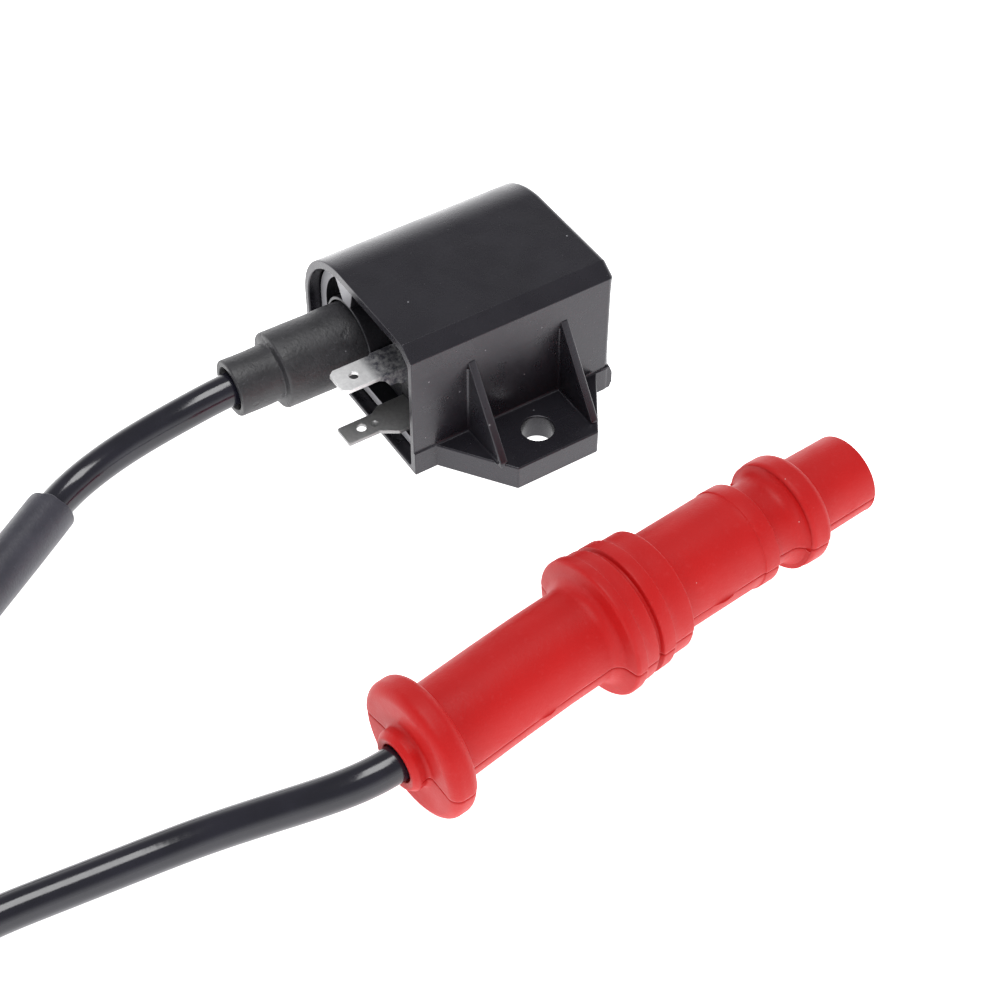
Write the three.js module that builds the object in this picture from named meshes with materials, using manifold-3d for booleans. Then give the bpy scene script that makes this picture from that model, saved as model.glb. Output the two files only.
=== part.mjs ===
// Ignition coil for a small engine: a potted two-terminal coil in a flanged
// housing, its high-tension lead, and the silicone plug cap on the lead's end.
//
// Millimetres, +Z up. The housing stands on z = 0 with its open mouth facing -Y.
// The group "coil" carries every piece in a working frame whose y = 0 is the
// plane of the mouth; MOUTH_Y moves it so that the coil's own box is centred.
import * as THREE from 'three';
import { mergeVertices } from 'three/addons/utils/BufferGeometryUtils.js';
import Module from 'manifold-3d';

const wasm = await Module();
wasm.setup();

// ---------------------------------------------------------------- dimensions
const HOUSING_W = 40.0;        // body width, X
const HOUSING_L = 43.6;        // body length, Y
const HOUSING_H = 30.2;        // body height, Z
const CORNER_R = 14.0;         // large round on the -X top edge
const CHAMFER_X = 3.1;         // chamfer on the +X top edge
const CHAMFER_Z = 2.3;
const WALL = 1.4;              // side walls
const WALL_TOP = 2.0;
const WALL_BOTTOM = 1.2;
const WALL_BACK = 1.6;
const PLINTH_OUT = 0.35;       // how far the base band stands proud of the walls
const FLANGE_T = 5.45;         // flange thickness
const FLANGE_OUT = 13.4;       // flange reach past the body
const FLANGE_Y = [4.34, 14.15, 31.8, 40.47]; // root, corner, corner, root
const BOLT_D = 6.2;            // clearance hole for an M6 bolt
const BOLT_X = 26.57;          // hole centre from the middle plane
const BOLT_Y = 22.8;
const GUSSET_T = 1.6;
const GUSSET_Y = [11.8, 31.8];
const GUSSET_TOP = 22.7;       // +X side, up the flat wall
const GUSSET_TOP_ROUND = 15.6; // -X side, below the round
const GUSSET_REACH = 11.2;
const FOOT_OUT = 1.3;          // bead along the back of the base
const LEDGE_Y = 2.5;           // front edge of the carrier, inside the mouth
const POTTING_Y = 6.0;         // surface of the resin
const GAP = 0.3;               // clearance between touching pieces
const TOWER_X = -5.0;          // high-tension outlet, centre line
const TOWER_Z = 13.9;
const TOWER_R = 8.4;
const TOWER_BORE = 7.75;
const WIND_Y = 28.6;           // winding axis, along X
const WIND_Z = 13.4;
const WIND_X = 0.75;           // middle of the winding
const WIND_HALF = 14.15;
const TUNNEL_R = 8.55;         // room for the winding in the resin
const BLADE_T = 0.8;
const LEAD_D = 6.3;
const LEAD_R = LEAD_D / 2;
const SLEEVE_L = 30.6;
const SLEEVE_START = 3.4;      // from where the lead comes to rest on the surface
const SLEEVE_OD = 9.0;
const SLEEVE_ID = 7.2;
const RING_C = [51.0, -149.5]; // centre of the put-away turns
const RING_R = 34.0;           // middle of the turns
const RING_LIFT = 1.1;         // height of the tie's band under the turns
const CAP_AT = [76.51, 0.0, 12.65]; // plug cap frame, local y along its axis
const CAP_TURN = 5.92 * Math.PI / 180;
const BOOT_FRONT = -24.0;
const MOUTH_Y = -(BOOT_FRONT + HOUSING_L + FOOT_OUT) / 2;

// ---------------------------------------------------------------- helpers
const mat = (name, color, roughness, metalness) => {
  const m = new THREE.MeshStandardMaterial({ color, roughness, metalness });
  m.name = name;
  return m;
};

// Position-only indexed copy, degenerate faces dropped, faces pointing out.
function closed(source) {
  const g0 = source.clone();
  g0.deleteAttribute('normal');
  g0.deleteAttribute('uv');
  const g = mergeVertices(g0, 1e-4);
  const p = g.attributes.position.array;
  const idx = g.index.array;
  const keep = [];
  let vol = 0;
  for (let i = 0; i < idx.length; i += 3) {
    const [a, b, c] = [idx[i], idx[i + 1], idx[i + 2]];
    if (a === b || b === c || a === c) continue;
    keep.push(a, b, c);
    const [ax, ay, az] = [p[3 * a], p[3 * a + 1], p[3 * a + 2]];
    const [bx, by, bz] = [p[3 * b], p[3 * b + 1], p[3 * b + 2]];
    const [cx, cy, cz] = [p[3 * c], p[3 * c + 1], p[3 * c + 2]];
    vol += ax * (by * cz - bz * cy) - ay * (bx * cz - bz * cx) + az * (bx * cy - by * cx);
  }
  if (vol < 0) for (let i = 0; i < keep.length; i += 3) [keep[i + 1], keep[i + 2]] = [keep[i + 2], keep[i + 1]];
  const out = new THREE.BufferGeometry();
  out.setAttribute('position', new THREE.BufferAttribute(new Float32Array(p), 3));
  out.setIndex(keep);
  return out;
}
const solid = (g) => {
  const c = closed(g);
  return new wasm.Manifold(new wasm.Mesh({
    numProp: 3,
    vertProperties: new Float32Array(c.attributes.position.array),
    triVerts: new Uint32Array(c.index.array),
  }));
};
const geometry = (m) => {
  const r = m.getMesh();
  const g = new THREE.BufferGeometry();
  g.setAttribute('position', new THREE.BufferAttribute(new Float32Array(r.vertProperties), 3));
  g.setIndex(Array.from(r.triVerts));
  return g;
};
const union = (...list) => list.reduce((a, b) => a.add(b));
const cut = (a, ...list) => list.reduce((x, y) => x.subtract(y), a);

const outline = (pts) => new THREE.Shape(pts.map(([x, y]) => new THREE.Vector2(x, y)));
const extrude = (shape, depth) => new THREE.ExtrudeGeometry(shape, { depth, bevelEnabled: false, curveSegments: 12, steps: 1 });
// (x, z) outline extruded along Y, (y, z) along X, (x, y) along Z
const prismY = (pts, y0, y1) => extrude(outline(pts), y1 - y0).rotateX(Math.PI / 2).translate(0, y1, 0);
const prismX = (pts, x0, x1) => extrude(outline(pts), x1 - x0)
  .applyMatrix4(new THREE.Matrix4().makeBasis(new THREE.Vector3(0, 1, 0), new THREE.Vector3(0, 0, 1), new THREE.Vector3(1, 0, 0)))
  .translate(x0, 0, 0);
const prismZ = (pts, z0, z1) => extrude(outline(pts), z1 - z0).translate(0, 0, z0);
const box = (x0, x1, y0, y1, z0, z1) => new THREE.BoxGeometry(x1 - x0, y1 - y0, z1 - z0)
  .translate((x0 + x1) / 2, (y0 + y1) / 2, (z0 + z1) / 2);
// (radius, y) profile turned about Y, then placed
const turned = (pts, seg, x = 0, y = 0, z = 0) =>
  new THREE.LatheGeometry(pts.map(([r, h]) => new THREE.Vector2(r, h)), seg).translate(x, y, z);
const rod = (r, y0, y1, seg, x, z) => turned([[0, y0], [r, y0], [r, y1], [0, y1]], seg, x, 0, z);
const ringProfile = (r0, r1, y0, y1) => [[r0, y0], [r1, y0], [r1, y1], [r0, y1], [r0, y0]];
const mirrorX = (pts) => pts.map(([x, y]) => [-x, y]).reverse();

const root = new THREE.Group();
const coil = new THREE.Group();
coil.position.set(0, MOUTH_Y, 0);
root.add(coil);
const cap = new THREE.Group();
cap.position.set(...CAP_AT);
cap.rotation.z = CAP_TURN;
coil.add(cap);
function node(parent, name, g, material) {
  const mesh = new THREE.Mesh(closed(g), material);
  mesh.name = name;
  parent.add(mesh);
  return mesh;
}

const nylon = mat('black_nylon', 0x2b2a31, 0.42, 0.0);
const resin = mat('potting_resin', 0x17161a, 0.55, 0.0);
const rubber = mat('black_rubber', 0x1c1b1e, 0.75, 0.0);
const tinned = mat('tinned_brass', 0xc4c2c6, 0.35, 1.0);
const cable = mat('lead_jacket', 0x121114, 0.2, 0.0);
const loom = mat('sleeve_vinyl', 0x4a4a4e, 0.7, 0.0);
const silicone = mat('red_silicone', 0xcf2724, 0.45, 0.0);
const copper = mat('copper_wire', 0xb3622e, 0.4, 1.0);
const steel = mat('core_steel', 0x6d6f73, 0.5, 1.0);
const brass = mat('brass', 0xb58f43, 0.35, 1.0);
const bobbinPlastic = mat('bobbin_plastic', 0xd8d2c0, 0.6, 0.0);
const phenolic = mat('phenolic', 0x3a1f14, 0.5, 0.0);
const ceramic = mat('ceramic', 0xe4dfd2, 0.6, 0.0);
const springSteel = mat('spring_steel', 0x9a9ca0, 0.3, 1.0);
const tieNylon = mat('tie_nylon', 0x222224, 0.5, 0.0);

// ---------------------------------------------------------------- housing
// Cross-section of the body, shrunk by separate amounts on each side.
function bodyOutline(side, bottom, top, r) {
  const h = HOUSING_W / 2 - side;
  const z0 = bottom;
  const z1 = HOUSING_H - top;
  const k = Math.max(0.4, (CORNER_R - r) / CORNER_R);
  const c = Math.max(0.6, 1 - (side + top) * 0.06);
  const pts = [[-h, z0], [h, z0], [h, z1 - CHAMFER_Z * c], [h - CHAMFER_X * c, z1]];
  const R = CORNER_R * k;
  const cx = -h + R;
  const cz = z1 - R;
  for (let i = 0; i <= 9; i++) {
    const a = Math.PI / 2 + (i / 9) * Math.PI / 2;
    pts.push([cx + R * Math.cos(a), cz + R * Math.sin(a)]);
  }
  return pts;
}
{
  const half = HOUSING_W / 2;
  const [f0, f1, f2, f3] = FLANGE_Y;
  const flange = [[half - 1.5, f0 - 0.6], [half, f0], [half + FLANGE_OUT, f1], [half + FLANGE_OUT, f2], [half, f3], [half - 1.5, f3 + 0.6]];
  const gusset = (top, inset) => [[half - 1.0, FLANGE_T - 1], [half + GUSSET_REACH, FLANGE_T - 1], [half + GUSSET_REACH, FLANGE_T + 0.2],
    [half - inset, top], [half - 1.0, top]];
  const parts = [
    solid(prismY(bodyOutline(0, 0, 0, 0), 0, HOUSING_L)),
    solid(box(-half - PLINTH_OUT, half + PLINTH_OUT, 0, HOUSING_L, 0, FLANGE_T)),
    solid(prismX([[HOUSING_L - 0.6, 0], [HOUSING_L + 0.5, 0], [HOUSING_L + FOOT_OUT, 1.4], [HOUSING_L + FOOT_OUT, 3.4],
      [HOUSING_L, FLANGE_T], [HOUSING_L - 0.6, FLANGE_T]], -half, half)),
    solid(prismZ(flange, 0, FLANGE_T)),
    solid(prismZ(mirrorX(flange), 0, FLANGE_T)),
  ];
  for (const y of GUSSET_Y) {
    parts.push(solid(prismY(gusset(GUSSET_TOP, 0), y, y + GUSSET_T)));
    parts.push(solid(prismY(mirrorX(gusset(GUSSET_TOP_ROUND, 0)), y, y + GUSSET_T)));
  }
  const bolt = (x) => solid(turned([[0, -1], [BOLT_D / 2, -1], [BOLT_D / 2, FLANGE_T + 1], [0, FLANGE_T + 1]], 24).rotateX(Math.PI / 2).translate(x, BOLT_Y, 0));
  const housing = cut(union(...parts),
    solid(prismY(bodyOutline(WALL, WALL_BOTTOM, WALL_TOP, 1.7), -1, HOUSING_L - WALL_BACK)),
    bolt(BOLT_X), bolt(-BOLT_X));
  node(coil, 'housing', geometry(housing), nylon);
}

// ---------------------------------------------------------------- coil carrier
// A cup that fills the housing, with the high-tension tower and its web.
const WEB = [[-9.7, 26.3], [-3.2, 26.3], [-4.3, 21.5], [-6.5, 21.5]];
{
  const back = HOUSING_L - WALL_BACK - GAP;
  const cup = cut(solid(prismY(bodyOutline(WALL + GAP, WALL_BOTTOM + GAP, WALL_TOP + GAP, 2.0), LEDGE_Y, back)),
    solid(prismY(bodyOutline(3.9, 3.7, 4.5, 4.4), LEDGE_Y - 1, back - 1.3)));
  const tower = solid(rod(TOWER_R, 1.1, 15.6, 32, TOWER_X, TOWER_Z));
  const web = solid(prismY(WEB, LEDGE_Y, 15.6));
  const carrier = cut(union(cup, tower, web),
    solid(rod(TOWER_BORE, 0, 14.1, 32, TOWER_X, TOWER_Z)),
    solid(rod(1.6, 13, 17, 16, TOWER_X, TOWER_Z)));
  node(coil, 'coil_carrier', geometry(carrier), nylon);
}

// ---------------------------------------------------------------- potting
const LINK = [new THREE.Vector3(-5.4, 17.0, TOWER_Z), new THREE.Vector3(-10.9, 19.9, TOWER_Z - 0.1)];
const along = (r, a, b, seg) => {
  const d = b.clone().sub(a);
  const g = new THREE.CylinderGeometry(r, r, d.length(), seg);
  g.applyQuaternion(new THREE.Quaternion().setFromUnitVectors(new THREE.Vector3(0, 1, 0), d.clone().normalize()));
  const m = a.clone().add(b).multiplyScalar(0.5);
  return g.translate(m.x, m.y, m.z);
};
{
  const d = LINK[1].clone().sub(LINK[0]).normalize();
  const body = solid(prismY(bodyOutline(4.2, 4.0, 4.8, 4.7), POTTING_Y, 40.0));
  const end = WIND_HALF + 0.35;
  const tunnel = turned([[0, -end], [TUNNEL_R, -end], [TUNNEL_R, end], [0, end]], 32).rotateZ(-Math.PI / 2).translate(WIND_X, WIND_Y, WIND_Z);
  const potting = cut(body,
    solid(rod(TOWER_R + GAP, POTTING_Y - 1, 15.9, 32, TOWER_X, TOWER_Z)),
    solid(prismY([[-10.2, 27], [-2.7, 27], [-3.9, 21], [-6.9, 21]], POTTING_Y - 1, 15.9)),
    solid(tunnel),
    solid(box(WIND_X - end, WIND_X + end, WIND_Y, 41, WIND_Z - TUNNEL_R, WIND_Z + TUNNEL_R)),
    solid(rod(1.6, 15, 17.3, 16, TOWER_X, TOWER_Z)),
    solid(along(0.85, LINK[0].clone().addScaledVector(d, -0.6), LINK[1].clone().addScaledVector(d, 2.0), 10)),
    solid(box(2.9, 10.25, POTTING_Y - 1, 8.4, 15.9, 19.2)),
    solid(box(8.85, 10.25, POTTING_Y - 1, 8.4, 12.9, 17.3)),
    solid(box(5.7, 14.35, POTTING_Y - 1, 8.4, 4.9, 6.3)));
  node(coil, 'potting_resin', geometry(potting), resin);
}

// ---------------------------------------------------------------- magnetic core and windings
// Everything here is turned about X: profiles are (radius, x).
const aboutX = (pts, seg) => turned(pts, seg).rotateZ(-Math.PI / 2).translate(WIND_X, WIND_Y, WIND_Z);
{
  // stacked sheet: the edges of the laminations show as fine steps on two sides
  const half = 2.6;
  const sheets = 7;
  const pitch = (2 * half) / sheets;
  const pts = [];
  for (let i = 0; i < sheets; i++) {
    const z = -half + i * pitch;
    const y = -half + (i % 2 ? 0.18 : 0);
    pts.push([y, z], [y, z + pitch]);
  }
  for (let i = sheets - 1; i >= 0; i--) {
    const z = -half + i * pitch;
    const y = half - (i % 2 ? 0.18 : 0);
    pts.push([y, z + pitch], [y, z]);
  }
  node(coil, 'laminated_core', prismX(pts.reverse().map(([y, z]) => [y + WIND_Y, z + WIND_Z]), WIND_X - WIND_HALF, WIND_X + WIND_HALF), steel);
  const w = WIND_HALF;
  node(coil, 'primary_bobbin', aboutX([[3.9, -w], [5.4, -w], [5.4, -w + 1], [4.4, -w + 1], [4.4, w - 1], [5.4, w - 1], [5.4, w], [3.9, w], [3.9, -w]], 24), bobbinPlastic);
  node(coil, 'primary_winding', aboutX(ringProfile(4.7, 5.3, -w + 1.3, w - 1.3), 24), copper);
  const sections = 6;
  const rib = 0.9;
  const gap = (2 * w - (sections + 1) * rib) / sections;
  const sec = [[5.7, -w]];
  for (let i = 0; i <= sections; i++) {
    const x = -w + i * (rib + gap);
    if (i > 0) sec.push([6.3, x]);
    sec.push([8.2, x], [8.2, x + rib]);
    if (i < sections) sec.push([6.3, x + rib]);
  }
  sec.push([5.7, w], [5.7, -w]);
  node(coil, 'secondary_bobbin', aboutX(sec, 24), bobbinPlastic);
  for (let i = 0; i < sections; i++) {
    const x = -w + i * (rib + gap) + rib;
    node(coil, `secondary_winding_${i + 1}`, aboutX(ringProfile(6.6, 7.9, x + GAP, x + gap - GAP), 24), copper);
  }
}

// ---------------------------------------------------------------- high-tension contact
node(coil, 'ht_contact', turned([[0, 6.9], [0.45, 8.0], [1.0, 9.0], [1.0, 13.0], [3.0, 13.0], [3.0, 13.8], [1.3, 13.8], [1.3, 16.6], [0, 16.6]], 16, TOWER_X, 0, TOWER_Z), brass);
node(coil, 'ht_link_wire', along(0.5, LINK[0], LINK[1], 10), copper);

// ---------------------------------------------------------------- terminals
{
  const top = 17.0;
  const blade = solid(prismZ([[4.55, -8.3], [9.05, -8.3], [9.95, -7.5], [9.95, 8.0], [3.25, 8.0], [3.25, 0.9], [3.65, 0.3], [3.65, -7.5]], top - BLADE_T, top));
  const flap = solid(prismX([[-1.0, top - BLADE_T], [0.2, top - 1.5], [1.4, top - 3.2], [2.8, top - 3.2], [3.6, top - 3.8], [8.0, top - 3.8], [8.0, top - 0.1], [-1.0, top - 0.1]], 9.15, 9.95));
  const hole = solid(turned([[0, -2], [0.9, -2], [0.9, 2], [0, 2]], 16).rotateX(Math.PI / 2).translate(6.8, -4.5, top));
  node(coil, 'primary_terminal', geometry(cut(union(blade, flap), hole)), tinned);
}
{
  const top = 6.0;
  const blade = solid(prismZ([[7.3, -9.0], [12.0, -9.0], [12.0, -2.6], [14.05, 0.6], [14.05, 8.0], [6.0, 8.0], [6.0, 0.6], [7.3, -1.7]], top - BLADE_T, top));
  const hole = solid(turned([[0, -2], [0.95, -2], [0.95, 2], [0, 2]], 16).rotateX(Math.PI / 2).translate(9.45, -5.0, top));
  const dimple = solid(turned([[0, -0.25], [0.75, -0.25], [0.75, 1], [0, 1]], 12).rotateX(Math.PI / 2).translate(9.95, -2.4, top));
  node(coil, 'ground_terminal', geometry(cut(blade, hole, dimple)), tinned);
}

// ---------------------------------------------------------------- outlet boot
node(coil, 'outlet_boot', turned([[3.5, -22.6], [4.1, BOOT_FRONT], [5.2, BOOT_FRONT], [5.5, -23.6], [5.5, -15.7], [5.8, -15.1], [7.1, -15.1], [7.44, -14.7],
  [7.44, 10.3], [7.0, 11.0], [3.5, 11.0], [3.5, -22.6]], 32, TOWER_X, 0, TOWER_Z), rubber);

// ---------------------------------------------------------------- the lead
// Centre line, coil side: out of the tower, down to the surface, through the
// sleeve and round the put-away turns; then back to the plug cap.
const V = (x, y, z) => new THREE.Vector3(x, y, z);
const SLEEVE_AT = V(-5.4, -58.8, SLEEVE_OD / 2);
const SLEEVE_DIR = V(Math.cos(-56.6 * Math.PI / 180), Math.sin(-56.6 * Math.PI / 180), 0);
const RING_IN = 160;
const RING_OUT = 356;
const Z_LOW = RING_LIFT + LEAD_R;
const Z_HIGH = Z_LOW + LEAD_D + 0.1;
const onRing = (deg) => V(RING_C[0] + RING_R * Math.cos(deg * Math.PI / 180), RING_C[1] + RING_R * Math.sin(deg * Math.PI / 180), 0);
const ringDir = (deg) => V(-Math.sin(deg * Math.PI / 180), Math.cos(deg * Math.PI / 180), 0);
const ease = (t) => t * t * (3 - 2 * t);
function bend(p0, d0, p1, d1, k, z0, z1, n) {
  const L = Math.hypot(p1.x - p0.x, p1.y - p0.y) * k / 3;
  const b = [p0, p0.clone().addScaledVector(d0, L), p1.clone().addScaledVector(d1, -L), p1];
  const out = [];
  for (let i = 1; i < n; i++) {
    const t = i / n;
    const u = 1 - t;
    const p = V(0, 0, 0);
    [u * u * u, 3 * u * u * t, 3 * u * t * t, t * t * t].forEach((w, j) => p.addScaledVector(b[j], w));
    p.z = z0 + (z1 - z0) * ease(t);
    out.push(p);
  }
  return out;
}
const capPoint = (s) => V(CAP_AT[0] - Math.sin(CAP_TURN) * s, CAP_AT[1] + Math.cos(CAP_TURN) * s, CAP_AT[2]);
const sleevePoint = (s) => SLEEVE_AT.clone().addScaledVector(SLEEVE_DIR, s);
const coilSide = [V(TOWER_X, 12.7, TOWER_Z), V(TOWER_X, 3, TOWER_Z), V(TOWER_X, -8, TOWER_Z), V(TOWER_X, -18, TOWER_Z), V(TOWER_X, -24, TOWER_Z), V(-5.0, -27.5, 13.7),
  V(-5.1, -31, 12.9), V(-5.6, -35.4, 11.8), V(-6.5, -40.2, 9.9), V(-7.3, -45, 8.0), V(-7.5, -50, 6.2), V(-6.9, -54.6, 5.0),
  sleevePoint(0), sleevePoint(11), sleevePoint(22), sleevePoint(32), sleevePoint(42),
  ...bend(sleevePoint(42), SLEEVE_DIR, onRing(RING_IN), ringDir(RING_IN), 1.3, SLEEVE_OD / 2, Z_LOW, 6)];
const capSide = [
  ...bend(onRing(RING_OUT), ringDir(RING_OUT), V(67.8, -102.5, 0), V(0.105, 0.9945, 0), 1.3, Z_HIGH, LEAD_R, 8),
  V(67.8, -102.5, LEAD_R), V(68.7, -94.6, LEAD_R), V(69.7, -86.7, LEAD_R + 0.15), V(70.9, -78.6, 3.7), V(72.6, -70.7, 4.8), V(75.1, -62.9, 6.9), V(77.7, -55.6, 9.4), V(79.7, -49.6, 11.3),
  capPoint(-44.0), capPoint(-39.5), capPoint(-33), capPoint(-26), capPoint(-19.7)];
// leave off what would run into the solid that stands for the turns
const clear = RING_R + 2 * LEAD_R + GAP + 0.1;
const fromRing = (p) => Math.hypot(p.x - RING_C[0], p.y - RING_C[1]);
function trim(points) {
  const curve = new THREE.CatmullRomCurve3(points, false, 'centripetal');
  const fine = curve.getPoints(600);
  return fine.filter((p) => fromRing(p) > clear);
}
function cord(points, steps, sides) {
  const fine = trim(points);
  const curve = new THREE.CatmullRomCurve3(fine.filter((_, i) => i % 6 === 0 || i === fine.length - 1), false, 'centripetal');
  const section = [];
  for (let i = 0; i < sides; i++) section.push([LEAD_R * Math.cos((i / sides) * 2 * Math.PI), LEAD_R * Math.sin((i / sides) * 2 * Math.PI)]);
  return new THREE.ExtrudeGeometry(outline(section), { steps, extrudePath: curve, bevelEnabled: false });
}
node(coil, 'lead_coil_side', geometry(cut(solid(cord(coilSide, 22, 10)), solid(rod(1.45, 6.5, 14, 12, TOWER_X, TOWER_Z)))), cable);
{
  const tube = solid(cord(capSide, 18, 10));
  const bore = solid(turned([[0, -27], [1.45, -27], [1.45, -18], [0, -18]], 12).rotateZ(CAP_TURN).translate(...CAP_AT));
  node(coil, 'lead_cap_side', geometry(cut(tube, bore)), cable);
}
{
  const r0 = RING_R - LEAD_R;
  const r1 = RING_R + LEAD_R;
  const z0 = RING_LIFT;
  const z1 = Z_HIGH + LEAD_R;
  const c = 1.6;
  const ring = turned([[r0, z0 + c], [r0 + c, z0], [r1 - c, z0], [r1, z0 + c], [r1, z1 - c], [r1 - c, z1], [r0 + c, z1], [r0, z1 - c], [r0, z0 + c]], 40)
    .rotateX(Math.PI / 2).translate(RING_C[0], RING_C[1], 0);
  // turning the profile about X mirrors its height, so lift it back above the surface
  ring.computeBoundingBox();
  ring.translate(0, 0, z0 - ring.boundingBox.min.z);
  node(coil, 'lead_turns', ring, cable);

  // tie round both turns
  const at = 280 * Math.PI / 180;
  const loop = cut(solid(box(r0 - 1.15, r1 + 1.15, -1.8, 1.8, 0, z1 + 1.1)),
    solid(box(r0 - 0.35, r1 + 0.35, -3, 3, 0.8, z1 + 0.3)));
  const head = solid(box(r1 + 0.9, r1 + 4.4, -2.6, 2.6, 5, 10));
  const tie = geometry(loop.add(head)).rotateZ(at).translate(RING_C[0], RING_C[1], 0);
  node(coil, 'coil_tie', tie, tieNylon);
}
{
  const sleeve = turned(ringProfile(SLEEVE_ID / 2, SLEEVE_OD / 2, 0, SLEEVE_L), 24);
  sleeve.applyQuaternion(new THREE.Quaternion().setFromUnitVectors(V(0, 1, 0), SLEEVE_DIR));
  const at = sleevePoint(SLEEVE_START);
  sleeve.translate(at.x, at.y, at.z);
  node(coil, 'lead_sleeve', sleeve, loom);
}

// ---------------------------------------------------------------- plug cap
// All turned about the cap's own axis, local y; y = 0 lies level with the mouth plane.
const CAP_PROFILE = [
  [3.5, -40.8], [4.5, -40.8], [5.05, -40.4], [5.4, -39.5], [5.45, -38.0],
  [10.4, -38.0], [11.5, -37.6], [12.1, -36.7], [12.4, -35.5], [12.3, -34.3], [11.9, -33.4], [10.9, -33.0], [8.7, -32.9],
  [8.7, -4.6], [8.95, -2.8], [9.6, -1.4], [10.6, -0.5], [11.6, -0.1], [12.3, 0.3], [12.65, 1.0], [12.65, 2.4],
  [12.3, 2.5], [12.2, 5.5], [11.6, 5.7], [11.6, 6.3], [12.1, 6.5], [12.05, 9.2], [11.35, 9.3], [11.3, 13.7], [11.0, 14.0], [9.35, 14.1],
  [9.35, 31.6], [9.55, 31.8], [9.5, 34.8], [9.2, 35.1], [8.0, 35.2], [8.0, 38.6], [8.25, 40.0], [8.9, 40.9], [9.8, 41.6], [10.25, 42.7], [10.25, 44.3], [9.9, 45.6], [9.4, 46.3], [7.65, 46.5],
  [7.5, 58.4], [7.25, 59.0],
  [5.0, 59.0], [5.0, 34.6], [5.9, 34.6], [5.9, -19.3], [3.5, -19.3], [3.5, -40.8]];
node(cap, 'cap_shell', turned(CAP_PROFILE, 28), silicone);
node(cap, 'cap_insulator', turned([[1.4, -19.0], [5.6, -19.0], [5.6, 34.3], [4.5, 34.3], [4.5, -15.6], [1.4, -15.6], [1.4, -19.0]], 20), phenolic);
node(cap, 'cable_screw', turned([[0, -26.4], [0.5, -25.2], [1.05, -24.4], [1.05, -15.3], [3.6, -15.3], [3.6, -12.9], [0, -12.9]], 16), brass);
node(cap, 'resistor', turned([[0, -12.6], [3.2, -12.6], [3.2, 9.4], [0, 9.4]], 16), ceramic);
{
  const turns = 5;
  const pts = [];
  const y0 = 10.3;
  const y1 = 17.2;
  for (let i = 0; i <= turns * 12; i++) {
    const a = (i / 12) * 2 * Math.PI;
    pts.push(V(2.9 * Math.cos(a), y0 + (y1 - y0) * (i / (turns * 12)), 2.9 * Math.sin(a)));
  }
  const wire = [];
  for (let i = 0; i < 6; i++) wire.push([0.4 * Math.cos(i * Math.PI / 3), 0.4 * Math.sin(i * Math.PI / 3)]);
  node(cap, 'contact_spring', new THREE.ExtrudeGeometry(outline(wire), { steps: 60, extrudePath: new THREE.CatmullRomCurve3(pts), bevelEnabled: false }), springSteel);
}
node(cap, 'plug_terminal', turned([[0, 18.0], [4.2, 18.0], [4.2, 33.6], [3.4, 33.6], [3.4, 22.0], [0, 22.0]], 20), brass);
node(cap, 'terminal_clip', geometry(cut(solid(turned(ringProfile(2.65, 3.08, 27.0, 27.9), 20)), solid(box(-0.8, 0.8, 26, 29, 0, 4)))), springSteel);

export default root;
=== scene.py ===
import math

import bmesh
import bpy
import numpy as np
from mathutils import Matrix, Vector


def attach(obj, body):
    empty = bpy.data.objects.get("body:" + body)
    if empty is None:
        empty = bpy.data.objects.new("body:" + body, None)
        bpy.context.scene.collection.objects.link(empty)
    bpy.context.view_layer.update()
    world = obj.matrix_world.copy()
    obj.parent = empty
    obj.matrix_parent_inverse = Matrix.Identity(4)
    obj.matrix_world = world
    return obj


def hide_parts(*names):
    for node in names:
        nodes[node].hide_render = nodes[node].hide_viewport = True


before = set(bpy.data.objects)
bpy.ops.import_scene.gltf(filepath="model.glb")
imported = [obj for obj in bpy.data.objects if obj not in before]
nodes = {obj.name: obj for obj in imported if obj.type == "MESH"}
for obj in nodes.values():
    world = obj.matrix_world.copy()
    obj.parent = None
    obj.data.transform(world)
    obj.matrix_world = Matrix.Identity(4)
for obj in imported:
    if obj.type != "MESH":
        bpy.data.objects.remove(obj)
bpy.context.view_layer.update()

# All lengths below are in millimetres in the working frame of the coil, whose
# y = 0 is the plane of the housing's mouth; place() takes them to the row frame.
MM = 0.001
MOUTH_Y = -10.45
SHIFT = np.array([0.0, MOUTH_Y, 0.0])
scene = bpy.context.scene


def place(points):
    return (np.asarray(points, float) + SHIFT) * MM


# ------------------------------------------------------------------ camera
AZ, EL, ROLL = math.radians(57.04), math.radians(47.60), math.radians(0.49)
back = Vector((math.sin(AZ) * math.cos(EL), -math.cos(AZ) * math.cos(EL), math.sin(EL)))
right = Vector((0, 0, 1)).cross(back).normalized()
up = back.cross(right)
cam_x = right * math.cos(ROLL) + up * math.sin(ROLL)
cam_y = up * math.cos(ROLL) - right * math.sin(ROLL)
cam_data = bpy.data.cameras.new("camera")
cam_data.lens = 74.2
cam_data.sensor_width = 36.0
cam_data.clip_start = 0.01
cam_data.clip_end = 20.0
camera = bpy.data.objects.new("camera", cam_data)
scene.collection.objects.link(camera)
camera.matrix_world = Matrix((
    (cam_x.x, cam_y.x, back.x, 0.247472),
    (cam_x.y, cam_y.y, back.y, -0.139080),
    (cam_x.z, cam_y.z, back.z, 0.278766),
    (0, 0, 0, 1)))
scene.camera = camera
scene.view_settings.view_transform = "Standard"
scene.view_settings.look = "None"
scene.view_settings.exposure = 0.0
scene.view_settings.gamma = 1.0


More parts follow.
